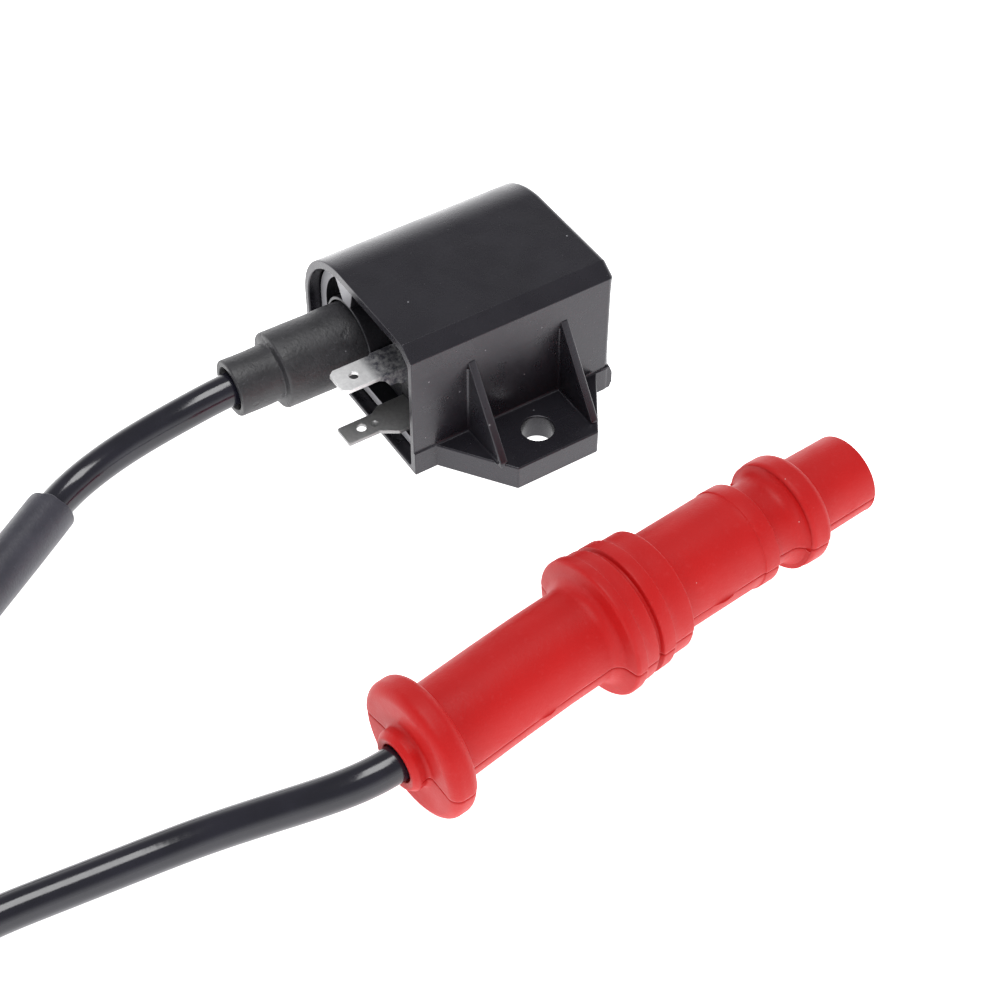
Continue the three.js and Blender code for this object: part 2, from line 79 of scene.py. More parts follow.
# ------------------------------------------------------------------ node helpers
class Tree:
    """Small wrapper that keeps the material code short."""

    def __init__(self, name):
        self.mat = bpy.data.materials.new(name)
        self.mat.use_nodes = True
        self.t = self.mat.node_tree
        self.t.nodes.clear()
        self.out = self.t.nodes.new("ShaderNodeOutputMaterial")
        self.bsdf = self.t.nodes.new("ShaderNodeBsdfPrincipled")
        self.t.links.new(self.bsdf.outputs[0], self.out.inputs[0])
        self.coord = self.t.nodes.new("ShaderNodeTexCoord")

    def link(self, a, b):
        self.t.links.new(a, b)

    def set(self, **kw):
        for k, v in kw.items():
            s = self.bsdf.inputs[k.replace("_", " ")]
            s.default_value = v
        return self

    def scaled(self, scale):
        m = self.t.nodes.new("ShaderNodeMapping")
        m.inputs["Scale"].default_value = scale
        self.link(self.coord.outputs["Object"], m.inputs["Vector"])
        return m.outputs[0]

    def noise(self, scale, detail=3.0, rough=0.55, vector=None, distortion=0.0):
        n = self.t.nodes.new("ShaderNodeTexNoise")
        n.inputs["Scale"].default_value = scale
        n.inputs["Detail"].default_value = detail
        n.inputs["Roughness"].default_value = rough
        n.inputs["Distortion"].default_value = distortion
        self.link(vector or self.coord.outputs["Object"], n.inputs["Vector"])
        return n.outputs["Fac"]

    def voronoi(self, scale, vector=None, feature="F1"):
        n = self.t.nodes.new("ShaderNodeTexVoronoi")
        n.feature = feature
        n.inputs["Scale"].default_value = scale
        self.link(vector or self.coord.outputs["Object"], n.inputs["Vector"])
        return n

    def span(self, value, a, b, c, d):
        """value in a..b becomes c..d, clamped"""
        n = self.t.nodes.new("ShaderNodeMapRange")
        n.inputs["From Min"].default_value = a
        n.inputs["From Max"].default_value = b
        n.inputs["To Min"].default_value = c
        n.inputs["To Max"].default_value = d
        self.link(value, n.inputs["Value"])
        return n.outputs[0]

    def math(self, op, a, b=None):
        n = self.t.nodes.new("ShaderNodeMath")
        n.operation = op
        for i, v in enumerate((a, b)):
            if v is None:
                continue
            if isinstance(v, (int, float)):
                n.inputs[i].default_value = v
            else:
                self.link(v, n.inputs[i])
        return n.outputs[0]

    def mix(self, fac, a, b):
        n = self.t.nodes.new("ShaderNodeMix")
        n.data_type = "RGBA"
        for i, v in ((0, fac), (6, a), (7, b)):
            if isinstance(v, (int, float)):
                n.inputs[i].default_value = v
            elif isinstance(v, tuple):
                n.inputs[i].default_value = (*v, 1.0)
            else:
                self.link(v, n.inputs[i])
        return n.outputs[2]

    def bump(self, height, distance, strength=1.0, normal=None):
        n = self.t.nodes.new("ShaderNodeBump")
        n.inputs["Distance"].default_value = distance
        n.inputs["Strength"].default_value = strength
        self.link(height, n.inputs["Height"])
        if normal is not None:
            self.link(normal, n.inputs["Normal"])
        return n.outputs[0]

    def colour(self, out):
        self.link(out, self.bsdf.inputs["Base Color"])

    def roughness(self, out):
        self.link(out, self.bsdf.inputs["Roughness"])

    def normal(self, out):
        self.link(out, self.bsdf.inputs["Normal"])

    def specks(self, cells, size, share, seed):
        """1 on a sparse scatter of tiny dots, 0 elsewhere"""
        m = self.t.nodes.new("ShaderNodeMapping")
        m.inputs["Location"].default_value = (seed, seed * 0.7, seed * 1.3)
        self.link(self.coord.outputs["Object"], m.inputs["Vector"])
        v = self.voronoi(cells, m.outputs[0])
        dot = self.span(v.outputs["Distance"], size * 0.6, size, 1.0, 0.0)
        s = self.t.nodes.new("ShaderNodeSeparateColor")
        self.link(v.outputs["Color"], s.inputs[0])
        chosen = self.math("GREATER_THAN", s.outputs[0], 1.0 - share)
        return self.math("MULTIPLY", dot, chosen)


def black_plastic(name, base, rough, grain, dust=0.25, mark=0.0):
    """Moulded nylon: soft mottling, fine grain, hairline scuffs and a little dust."""
    t = Tree(name)
    cloud = t.noise(90, 3)
    dark = tuple(c * 0.82 for c in base)
    col = t.mix(t.span(cloud, 0.3, 0.7, 0, 1), dark, base)
    fleck = t.specks(420, 0.085, dust, 0.13)
    fine = t.specks(1500, 0.13, dust * 0.25, 0.71)
    col = t.mix(t.math("MULTIPLY", fleck, 0.55), col, (0.30, 0.30, 0.32))
    col = t.mix(t.math("MULTIPLY", fine, 0.30), col, (0.22, 0.22, 0.24))
    t.colour(col)
    scuff = t.noise(260, 4, 0.7, t.scaled((1.0, 0.16, 1.0)), 1.5)
    r = t.math("ADD", t.span(t.noise(170, 4), 0.3, 0.7, rough - 0.04, rough + 0.05), t.span(scuff, 0.56, 0.72, 0.0, 0.05))
    t.roughness(r)
    h = t.math("ADD", t.math("MULTIPLY", t.noise(2600, 2), grain), t.math("MULTIPLY", t.noise(700, 3), 0.6 * grain))
    if mark:
        lines = t.noise(900, 3, 0.7, t.scaled((0.22, 1.0, 1.0)), 2.0)
        h = t.math("ADD", h, t.math("MULTIPLY", t.span(lines, 0.72, 0.84, 0.0, 1.0), -mark))
    h = t.math("ADD", h, t.math("MULTIPLY", fleck, 0.8))
    t.normal(t.bump(h, 0.00006))
    t.set(IOR=1.5, Specular_Tint=(0.95, 0.93, 1.0, 1.0))
    return t.mat


housing_mat = black_plastic("housing_nylon", (0.0125, 0.0118, 0.0155), 0.27, 0.40, 0.16, 0.25)
housing_mat.node_tree.nodes["Principled BSDF"].inputs["Specular IOR Level"].default_value = 0.42
carrier_mat = black_plastic("carrier_nylon", (0.0140, 0.0140, 0.0165), 0.36, 0.35, 0.10)
# a far lighter copy of the carrier nylon, used below as painted light on the mouth faces
painted_light_rim_mat = black_plastic("carrier_nylon_painted_light", (0.300, 0.300, 0.315), 0.45, 0.5, 0.05)


def rubber_black():
    t = Tree("boot_rubber")
    worn = t.noise(340, 5, 0.72)
    rub = t.noise(1300, 3, 0.7, t.scaled((1.0, 0.45, 1.0)), 1.0)
    col = t.mix(t.span(worn, 0.42, 0.72, 0, 1), (0.0150, 0.0148, 0.0172), (0.0290, 0.0285, 0.0320))
    col = t.mix(t.math("MULTIPLY", t.span(rub, 0.60, 0.72, 0, 1), 0.35), col, (0.085, 0.085, 0.095))
    col = t.mix(t.math("MULTIPLY", t.specks(700, 0.11, 0.18, 0.37), 0.6), col, (0.26, 0.26, 0.28))
    t.colour(col)
    t.roughness(t.span(worn, 0.3, 0.7, 0.40, 0.56))
    h = t.math("ADD", t.noise(1500, 4, 0.6), t.math("MULTIPLY", t.span(t.noise(480, 3), 0.62, 0.75, 0, 1), -0.9))
    t.normal(t.bump(h, 0.00009))
    t.set(IOR=1.5)
    return t.mat


def lead_jacket():
    """Glossy extruded jacket; its skin has a fine cross ripple."""
    t = Tree("lead_jacket")
    a = t.t.nodes.new("ShaderNodeAttribute")
    a.attribute_name = "run"
    b = t.t.nodes.new("ShaderNodeAttribute")
    b.attribute_name = "round"
    c = t.t.nodes.new("ShaderNodeCombineXYZ")
    t.link(a.outputs["Fac"], c.inputs[0])
    t.link(b.outputs["Fac"], c.inputs[1])
    ripple = t.noise(1.0, 2, 0.5, t._map(c.outputs[0], (1050.0, 1.4, 1.0)) if hasattr(t, "_map") else c.outputs[0])
    t.colour(t.mix(t.span(t.noise(120, 3), 0.35, 0.65, 0, 1), (0.0070, 0.0068, 0.0120), (0.0110, 0.0105, 0.0180)))
    t.roughness(t.span(t.noise(400, 3), 0.3, 0.7, 0.13, 0.20))
    t.normal(t.bump(ripple, 0.000012))
    t.set(IOR=1.5)
    return t.mat


def _map(self, vector, scale):
    m = self.t.nodes.new("ShaderNodeMapping")
    m.inputs["Scale"].default_value = scale
    self.link(vector, m.inputs["Vector"])
    return m.outputs[0]


Tree._map = _map


def sleeve_vinyl():
    t = Tree("sleeve_vinyl")
    cloud = t.noise(220, 4, 0.6)
    col = t.mix(t.span(cloud, 0.35, 0.7, 0, 1), (0.0270, 0.0265, 0.0370), (0.0370, 0.0360, 0.0490))
    col = t.mix(t.math("MULTIPLY", t.span(t.noise(1700, 3, 0.7), 0.62, 0.75, 0, 1), 0.35), col, (0.10, 0.10, 0.115))
    t.colour(col)
    t.roughness(t.span(cloud, 0.3, 0.7, 0.36, 0.46))
    t.normal(t.bump(t.math("ADD", t.noise(2400, 3), t.math("MULTIPLY", t.noise(520, 3), 0.8)), 0.00005))
    t.set(IOR=1.48)
    return t.mat


def red_silicone():
    t = Tree("red_silicone")
    cloud = t.noise(55, 3)
    col = t.mix(t.span(cloud, 0.3, 0.7, 0, 1), (0.400, 0.0042, 0.0042), (0.445, 0.0055, 0.0052))
    fine = t.noise(900, 3, 0.6)
    col = t.mix(t.math("MULTIPLY", t.span(fine, 0.58, 0.74, 0, 1), 0.14), col, (0.50, 0.050, 0.050))
    dust = t.specks(520, 0.070, 0.14, 0.59)
    col = t.mix(t.math("MULTIPLY", dust, 0.75), col, (0.66, 0.36, 0.34))
    t.colour(col)
    t.roughness(t.span(t.noise(240, 4), 0.3, 0.7, 0.44, 0.54))
    h = t.math("ADD", t.noise(2800, 2), t.math("MULTIPLY", t.noise(600, 3), 0.7))
    h = t.math("ADD", h, t.math("MULTIPLY", dust, 1.0))
    t.normal(t.bump(h, 0.000035))
    t.set(IOR=1.43, Specular_IOR_Level=0.30)
    return t.mat


def tinned(name, base, rough, dim, metal, shade_span=None):
    """Tin-plated strip: spangled grain, rolling marks and small scratches."""
    t = Tree(name)
    grain = t.noise(1500, 4, 0.7)
    patch = t.noise(330, 4, 0.65)
    col = t.mix(t.span(grain, 0.35, 0.68, 0, 1), tuple(c * dim for c in base), base)
    col = t.mix(t.math("MULTIPLY", t.span(patch, 0.50, 0.68, 0, 1), 0.12), col, tuple(c * 0.75 for c in base))
    # painted shade of the housing's mouth on the strip: from 2 mm in front of the mouth inwards the strip is darkened
    # in noisy mottles
    if shade_span:
        sep = t.t.nodes.new("ShaderNodeSeparateXYZ")
        t.link(t.coord.outputs["Object"], sep.inputs[0])
        inner = t.span(sep.outputs["Y"], shade_span[0], shade_span[1], 0.0, 1.0)
        shade_mottle = t.span(t.noise(900, 4, 0.7), 0.34, 0.60, 0.35, 0.95)
        col = t.mix(t.math("MULTIPLY", inner, shade_mottle), col, (0.085, 0.085, 0.110))
    t.colour(col)
    t.roughness(t.span(grain, 0.3, 0.7, rough - 0.06, rough + 0.10))
    lines = t.noise(1400, 3, 0.7, t.scaled((1.0, 0.10, 1.0)))
    h = t.math("ADD", t.math("MULTIPLY", grain, 0.7), t.math("MULTIPLY", lines, 0.8))
    t.normal(t.bump(h, 0.000012))
    t.set(Metallic=metal)
    return t.mat


def plain(name, a, b, rough, scale, bump_at, height, metallic=0.0, stretch=(1, 1, 1)):
    """General purpose: two tones over a noise, with matching roughness and bump."""
    t = Tree(name)
    v = t.scaled(stretch)
    n = t.noise(scale, 4, 0.6, v)
    t.colour(t.mix(t.span(n, 0.32, 0.68, 0, 1), a, b))
    t.roughness(t.span(n, 0.3, 0.7, rough - 0.06, rough + 0.08))
    t.normal(t.bump(t.noise(bump_at, 3, 0.6, v), height))
    t.set(Metallic=metallic)
    return t.mat


boot_mat = rubber_black()
lead_mat = lead_jacket()
sleeve_mat = sleeve_vinyl()
red_mat = red_silicone()
# the last argument is the y span, in metres, over which painted shade of the housing's mouth fades in on the blade
tin_mat = tinned("tinned_brass", (0.84, 0.84, 0.84), 0.36, 0.86, 0.45, (-0.0125, -0.0105))
tin_dull_mat = tinned("tinned_brass_ground", (0.33, 0.33, 0.33), 0.38, 0.76, 0.6)
resin_mat = plain("potting_resin", (0.010, 0.010, 0.012), (0.018, 0.018, 0.021), 0.30, 260, 500, 0.00012)
core_mat = plain("core_steel", (0.30, 0.31, 0.33), (0.42, 0.43, 0.45), 0.38, 500, 1800, 0.00003, 1.0, (0.1, 1, 1))
bobbin_mat = plain("bobbin_plastic", (0.62, 0.57, 0.47), (0.74, 0.69, 0.58), 0.5, 300, 1500, 0.00004)
copper_mat = plain("copper_wire", (0.50, 0.17, 0.07), (0.70, 0.30, 0.13), 0.30, 2200, 5200, 0.00006, 1.0, (1, 0.05, 0.05))
brass_mat = plain("brass", (0.55, 0.38, 0.14), (0.68, 0.50, 0.21), 0.30, 900, 2600, 0.00002, 1.0, (1, 0.2, 1))
spring_mat = plain("spring_steel", (0.42, 0.42, 0.44), (0.58, 0.58, 0.60), 0.26, 900, 2600, 0.00002, 1.0)
phenolic_mat = plain("phenolic", (0.075, 0.022, 0.011), (0.115, 0.038, 0.018), 0.34, 420, 1500, 0.00004)
ceramic_mat = plain("ceramic", (0.68, 0.65, 0.57), (0.80, 0.77, 0.70), 0.55, 260, 1500, 0.00005)
tie_mat = plain("tie_nylon", (0.016, 0.016, 0.018), (0.026, 0.026, 0.029), 0.38, 260, 2600, 0.00004)

for node, mat in {
    "potting_resin": resin_mat, "laminated_core": core_mat, "primary_bobbin": bobbin_mat, "secondary_bobbin": bobbin_mat,
    "primary_winding": copper_mat, "ht_contact": brass_mat, "ht_link_wire": copper_mat, "cable_screw": brass_mat,
    "plug_terminal": brass_mat, "resistor": ceramic_mat, "contact_spring": spring_mat, "terminal_clip": spring_mat,
    "cap_insulator": phenolic_mat,
}.items():
    nodes[node].data.materials.clear()
    nodes[node].data.materials.append(mat)
for i in range(1, 7):
    m = nodes[f"secondary_winding_{i}"].data.materials
    m.clear()
    m.append(copper_mat)


# ------------------------------------------------------------------ mesh helpers
def make(name, verts, faces, mat, sharp=34.0):
    """A smooth-shaded closed mesh from points in working millimetres."""
    me = bpy.data.meshes.new(name)
    me.from_pydata([tuple(v) for v in place(verts)], [], [tuple(f) for f in faces])
    ob = bpy.data.objects.new(name, me)
    scene.collection.objects.link(ob)
    bm = bmesh.new()
    bm.from_mesh(me)
    bmesh.ops.remove_doubles(bm, verts=bm.verts, dist=2e-6)
    bmesh.ops.recalc_face_normals(bm, faces=bm.faces)
    bm.to_mesh(me)
    bm.free()
    me.materials.append(mat)
    shade(ob, sharp)
    return ob


def shade(ob, sharp):
    me = ob.data
    me.polygons.foreach_set("use_smooth", [True] * len(me.polygons))
    me.set_sharp_from_angle(angle=math.radians(sharp))
    me.update()


def weighted(ob):
    w = ob.modifiers.new("weighted", "WEIGHTED_NORMAL")
    w.keep_sharp = True
    w.weight = 60
    return ob


def bake(ob):
    """Applies the object's modifiers."""
    dg = bpy.context.evaluated_depsgraph_get()
    me = bpy.data.meshes.new_from_object(ob.evaluated_get(dg))
    old = ob.data
    ob.modifiers.clear()
    ob.data = me
    bpy.data.meshes.remove(old)
    return ob


def boolean(ob, other, op="UNION"):
    m = ob.modifiers.new("b", "BOOLEAN")
    m.operation = op
    m.object = other
    m.solver = "MANIFOLD"
    bake(ob)
    bpy.data.objects.remove(other)
    return ob


def rounded(corners):
    """Closed outline from (x, y, radius, steps) corners, in order."""
    out = []
    n = len(corners)
    for i in range(n):
        p0 = np.array(corners[i - 1][:2], float)
        p1 = np.array(corners[i][:2], float)
        p2 = np.array(corners[(i + 1) % n][:2], float)
        r, k = corners[i][2], corners[i][3]
        a, b = p0 - p1, p2 - p1
        a /= np.linalg.norm(a)
        b /= np.linalg.norm(b)
        ang = math.acos(max(-1.0, min(1.0, float(a @ b))))
        if r < 1e-6 or k < 2:
            out += [p1] * max(1, k)
            continue
        t = r / math.tan(ang / 2)
        c = p1 + (a + b) / np.linalg.norm(a + b) * (r / math.sin(ang / 2))
        s, e = p1 + a * t - c, p1 + b * t - c
        a0 = math.atan2(s[1], s[0])
        d = (math.atan2(e[1], e[0]) - a0 + math.pi) % (2 * math.pi) - math.pi
        for j in range(k):
            q = a0 + d * j / (k - 1)
            out.append(c + r * np.array([math.cos(q), math.sin(q)]))
    return np.array(out)


def open_rounded(corners):
    """The same for an open polyline: its ends are kept."""
    ring = rounded([(*corners[0][:2], 0, 1)] + list(corners[1:-1]) + [(*corners[-1][:2], 0, 1)])
    return ring


def loft(rings, cap_start=True, cap_end=True, closed=False):
    n = len(rings[0])
    verts = np.concatenate(rings)
    faces = []
    m = len(rings)
    for i in range(m if closed else m - 1):
        a, b = i * n, ((i + 1) % m) * n
        for j in range(n):
            k = (j + 1) % n
            faces.append((a + j, a + k, b + k, b + j))
    if not closed:
        if cap_start:
            faces.append(tuple(range(n - 1, -1, -1)))
        if cap_end:
            faces.append(tuple((m - 1) * n + j for j in range(n)))
    return verts, faces


def lathe(profile, seg, origin, axis=(0, 1, 0), closed=False, wobble=None):
    """(radius, height) profile turned about an axis through origin. Radius 0 closes an end."""
    axis = np.array(axis, float)
    axis /= np.linalg.norm(axis)
    u = np.cross(axis, [0, 0, 1.0] if abs(axis[2]) < 0.9 else [0, 1.0, 0])
    u /= np.linalg.norm(u)
    v = np.cross(u, axis)
    q = np.linspace(0, 2 * math.pi, seg, endpoint=False)
    rings = []
    for r, h in profile:
        rr = np.full(seg, float(r)) if wobble is None else np.array([wobble(r, h, x) for x in q])
        rings.append(np.array(origin) + axis * h + rr[:, None] * (np.cos(q)[:, None] * u + np.sin(q)[:, None] * v))
    return loft(rings, closed=closed)


def prism(outline, lo, hi, axis, edge, mat, name="part", keep=None, steps=3):
    """Outline extruded along an axis, its sharp edges rounded by edge."""
    o = np.array(outline, float)
    to = {"x": lambda p, h: (h, p[0], p[1]), "y": lambda p, h: (p[0], h, p[1]), "z": lambda p, h: (p[0], p[1], h)}[axis]
    n = len(o)
    verts = [to(p, lo) for p in o] + [to(p, hi) for p in o]
    faces = [tuple(range(n)), tuple(range(2 * n - 1, n - 1, -1))] + [(i, i + n, (i + 1) % n + n, (i + 1) % n) for i in range(n)]
    ob = make(name, verts, faces, mat)
    if edge:
        bm = bmesh.new()
        bm.from_mesh(ob.data)
        sel = [e for e in bm.edges if len(e.link_faces) == 2 and e.calc_face_angle(0) > math.radians(24)
               and (keep is None or keep(e))]
        bmesh.ops.bevel(bm, geom=sel, offset=edge * MM, offset_type="OFFSET", segments=steps, profile=0.5, affect="EDGES", clamp_overlap=True)
        bmesh.ops.recalc_face_normals(bm, faces=bm.faces)
        bm.to_mesh(ob.data)
        bm.free()
    return ob


def fillet(p0, p1, a, b, r, mat, steps=5, bite=0.25):
    """A concave fillet along the inner corner from p0 to p1, between directions a and b."""
    a, b = np.array(a, float), np.array(b, float)
    sec = [-bite * (a + b)]
    sec.append(a * r - bite * b)
    for j in range(steps + 1):
        q = j / steps * math.pi / 2
        sec.append(a * (r - r * math.sin(q)) + b * (r - r * math.cos(q)))
    sec.append(b * r - bite * a)
    sec = np.array(sec)
    verts, faces = loft([sec + np.array(p0), sec + np.array(p1)])
    return make("fillet", verts, faces, mat)


# ------------------------------------------------------------------ the lead (cord)
LEAD_D = 6.3
LEAD_R = LEAD_D / 2
SLEEVE_OD, SLEEVE_ID, SLEEVE_L, SLEEVE_START = 9.0, 7.2, 30.6, 3.4
CAP_AT = np.array([76.51, 0.0, 12.65])
CAP_TURN = math.radians(5.92)
CAP_AXIS = np.array([-math.sin(CAP_TURN), math.cos(CAP_TURN), 0.0])
SLEEVE_AT = np.array([-5.4, -58.8, SLEEVE_OD / 2])
SLEEVE_DIR = np.array([math.cos(math.radians(-56.6)), math.sin(math.radians(-56.6)), 0.0])
RING_C = np.array([51.0, -149.5, 0.0])
RING_R, RING_LIFT, RING_IN, RING_OUT = 34.0, 1.1, 160.0, 356.0
Z_LOW = RING_LIFT + LEAD_R
Z_HIGH = Z_LOW + LEAD_D + 0.1


def on_ring(deg, z=0.0):
    q = math.radians(deg)
    return RING_C + np.array([RING_R * math.cos(q), RING_R * math.sin(q), z])


def ring_dir(deg):
    q = math.radians(deg)
    return np.array([-math.sin(q), math.cos(q), 0.0])


def ease(t):
    return t * t * (3 - 2 * t)


def bend(p0, d0, p1, d1, k, z0, z1, n):
    reach = math.hypot(p1[0] - p0[0], p1[1] - p0[1]) * k / 3
    b = [np.array(p0, float), p0 + d0 * reach, p1 - d1 * reach, np.array(p1, float)]
    out = []
    for i in range(1, n):
        t = i / n
        u = 1 - t
        p = u ** 3 * b[0] + 3 * u * u * t * b[1] + 3 * u * t * t * b[2] + t ** 3 * b[3]
        p[2] = z0 + (z1 - z0) * ease(t)
        out.append(p)
    return out


def cap_point(s):
    return CAP_AT + CAP_AXIS * s


BOW_S = [-46.0, -41.0, -35.0, -30.0, -24.0, -19.5, -10.0, 0.0, 6.0, 14.0, 30.0, 36.0, 41.0, 46.0, 59.0]
BOW_B = [1.35, 1.30, 1.15, 0.85, 0.45, 0.15, -0.35, -0.62, -0.74, -0.78, -0.72, -0.50, -0.15, 0.08, 0.45]
CAP_SIDE = np.array([math.cos(CAP_TURN), math.sin(CAP_TURN), 0.0])


def cap_bow(s):
    """The soft shell is a little bent: how far it lies to the side of its axis at s."""
    return float(np.interp(s, BOW_S, BOW_B))


def sleeve_point(s):
    return SLEEVE_AT + SLEEVE_DIR * s


cap_in = np.array([67.8, -102.5, 0.0])
cap_in_dir = np.array([0.105, 0.9945, 0.0])
route = [(-5, 12.7, 13.9), (-5, 3, 13.9), (-5, -8, 13.9), (-5, -18, 13.9), (-5, -24, 13.9), (-5.0, -27.5, 13.7),
         (-5.1, -31, 12.9), (-5.6, -35.4, 11.8), (-6.5, -40.2, 9.9), (-7.3, -45, 8.0), (-7.5, -50, 6.2), (-6.9, -54.6, 5.0)]
route += [sleeve_point(s) for s in (0, 11, 22, 32, 42)]
route += bend(sleeve_point(42), SLEEVE_DIR, on_ring(RING_IN), ring_dir(RING_IN), 1.3, SLEEVE_OD / 2, Z_LOW, 6)
turn_end = RING_OUT + 360
steps = 36
for i in range(steps + 1):
    q = RING_IN + (turn_end - RING_IN) * i / steps
    t = min(1.0, max(0.0, (q - 440.0) / 85.0))
    route.append(on_ring(q, Z_LOW + (Z_HIGH - Z_LOW) * ease(t)))
route += bend(on_ring(RING_OUT), ring_dir(RING_OUT), cap_in, cap_in_dir, 1.3, Z_HIGH, LEAD_R, 8)
route += [(67.8, -102.5, LEAD_R), (68.7, -94.6, LEAD_R), (69.7, -86.7, LEAD_R + 0.15), (70.9, -78.6, 3.7), (72.6, -70.7, 4.8),
          (75.4, -62.9, 6.9), (78.5, -55.6, 9.3), (80.9, -49.6, 11.2)]
route += [cap_point(s) + CAP_SIDE * cap_bow(s) for s in (-44.0, -39.5, -33, -26, -19.7)]
route = np.array([tuple(p) for p in route], float)


def through(points, spacing):
    """Centripetal Catmull-Rom through the points, evenly resampled."""
    p = np.vstack([2 * points[0] - points[1], points, 2 * points[-1] - points[-2]])
    fine = []
    for i in range(1, len(p) - 2):
        a, b, c, d = p[i - 1:i + 3]
        t0 = 0.0
        t1 = t0 + np.linalg.norm(b - a) ** 0.5
        t2 = t1 + np.linalg.norm(c - b) ** 0.5
        t3 = t2 + np.linalg.norm(d - c) ** 0.5
        for t in np.linspace(t1, t2, 24, endpoint=False):
            a1 = (t1 - t) / (t1 - t0) * a + (t - t0) / (t1 - t0) * b
            a2 = (t2 - t) / (t2 - t1) * b + (t - t1) / (t2 - t1) * c
            a3 = (t3 - t) / (t3 - t2) * c + (t - t2) / (t3 - t2) * d
            b1 = (t2 - t) / (t2 - t0) * a1 + (t - t0) / (t2 - t0) * a2
            b2 = (t3 - t) / (t3 - t1) * a2 + (t - t1) / (t3 - t1) * a3
            fine.append((t2 - t) / (t2 - t1) * b1 + (t - t1) / (t2 - t1) * b2)
    fine.append(points[-1])
    fine = np.array(fine)
    run = np.concatenate([[0], np.cumsum(np.linalg.norm(np.diff(fine, axis=0), axis=1))])
    n = int(round(run[-1] / spacing))
    at = np.linspace(0, run[-1], n + 1)
    return np.array([np.interp(at, run, fine[:, k]) for k in range(3)]).T, run[-1]


def soften(points, passes):
    p = points.copy()
    for _ in range(passes):
        q = p.copy()
        q[1:-1] = (p[:-2] + 2 * p[1:-1] + p[2:]) / 4
        p = q
    return p


line, _ = through(route, 1.0)
line = soften(line, 24)


def tube(name, centre, radius, sides, mat):
    """A tube mesh along a centre line, with its run in metres and its turn as attributes."""
    n = len(centre)
    tan = np.gradient(centre, axis=0)
    tan /= np.linalg.norm(tan, axis=1)[:, None]
    u = np.cross(tan[0], [0, 0, 1.0])
    u /= np.linalg.norm(u)
    rings = []
    q = np.linspace(0, 2 * math.pi, sides, endpoint=False)
    for i in range(n):
        u = u - tan[i] * (u @ tan[i])
        u /= np.linalg.norm(u)
        v = np.cross(tan[i], u)
        rr = radius(i) if callable(radius) else radius
        rings.append(centre[i] + rr * (np.cos(q)[:, None] * u + np.sin(q)[:, None] * v))
    verts, faces = loft(rings)
    me = bpy.data.meshes.new(name)
    me.from_pydata([tuple(v) for v in place(verts)], [], faces)
    ob = bpy.data.objects.new(name, me)
    scene.collection.objects.link(ob)
    at = np.concatenate([[0], np.cumsum(np.linalg.norm(np.diff(centre, axis=0), axis=1))]) * MM
    a = me.attributes.new("run", "FLOAT", "POINT")
    a.data.foreach_set("value", np.repeat(at, sides).astype(np.float32))
    b = me.attributes.new("round", "FLOAT", "POINT")
    b.data.foreach_set("value", np.tile(np.abs(q - math.pi), n).astype(np.float32))
    me.materials.append(mat)
    bm = bmesh.new()
    bm.from_mesh(me)
    bmesh.ops.recalc_face_normals(bm, faces=bm.faces)
    bm.to_mesh(me)
    bm.free()
    shade(ob, 50)
    return ob


lead = tube("hv_lead", line, LEAD_R, 40, lead_mat)
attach(lead, "coil")
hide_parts("lead_coil_side", "lead_turns", "lead_cap_side")


# ------------------------------------------------------------------ housing
W, L, H = 40.0, 43.6, 30.2


def body_corners(side, bottom, top, shrink, small):
    """Cross-section corners (x, z, radius, steps); the same count for every offset."""
    h = W / 2 - side
    z0, z1 = bottom, H - top
    c = max(0.6, 1 - (side + top) * 0.06)
    return [(-h, z0, small, 5), (h, z0, small, 5), (h, z1 - 2.3 * c, small, 4), (h - 3.1 * c, z1, small, 4),
            (-h, z1, 15.2 - shrink, 44)]


def section(side, bottom, top, shrink, small, y):
    o = rounded(body_corners(side, bottom, top, shrink, small))
    return np.stack([o[:, 0], np.full(len(o), y), o[:, 1]], 1)


def at_y(ring, y):
    r = ring.copy()
    r[:, 1] = y
    return r


def inward(ring):
    """Unit inward normals of an (x, z) section ring."""
    d = np.roll(ring, -1, 0) - np.roll(ring, 1, 0)
    nrm = np.stack([-d[:, 2], np.zeros(len(d)), d[:, 0]], 1)
    nrm /= np.linalg.norm(nrm, axis=1)[:, None]
    mid = ring.mean(0)
    if ((mid - ring) * nrm).sum(1).mean() < 0:
        nrm = -nrm
    return nrm


# the outside, with the base band's small step in its outline
STEP = 5.45
oc = [(-W / 2 - 0.35, 0.0, 0.14, 3), (W / 2 + 0.35, 0.0, 0.14, 3), (W / 2 + 0.35, STEP - 0.05, 0.16, 3), (W / 2, STEP + 0.12, 0.12, 3),
      (W / 2, 8.0, 0, 1), (W / 2, 12.0, 0, 1), (W / 2, 16.0, 0, 1), (W / 2, 20.0, 0, 1), (W / 2, 24.0, 0, 1),
      (W / 2, H - 2.3, 0.26, 5), (W / 2 - 3.1, H, 0.26, 5), (-W / 2, H, 15.2, 48), (-W / 2, STEP + 0.12, 0.12, 3), (-W / 2 - 0.35, STEP - 0.05, 0.16, 3)]
# how far each of those corners draws in at the back edge, (x, z)
back_in = [(0.5, 0.25), (-0.9, 0.25), (-0.9, 0.0), (-1.3, 0.0), (-1.9, 0.0), (-2.0, 0.0), (-2.0, 0.0), (-2.0, 0.0), (-1.9, 0.0),
           (-1.25, -0.4), (-0.6, -1.3), (1.4, -1.4), (1.2, 0.0), (0.9, 0.0)]


def drawn(fx, fz, shrink):
    """The outline with each corner moved by (fx, fz) and its round made smaller."""
    moved = [(c[0] + dx, c[1] + dz, c[2] if c[3] < 2 else max(0.02, c[2] - shrink), c[3]) for c, dx, dz in zip(oc, fx, fz)]
    flat = rounded(moved)
    return np.stack([flat[:, 0], np.zeros(len(flat)), flat[:, 1]], 1)


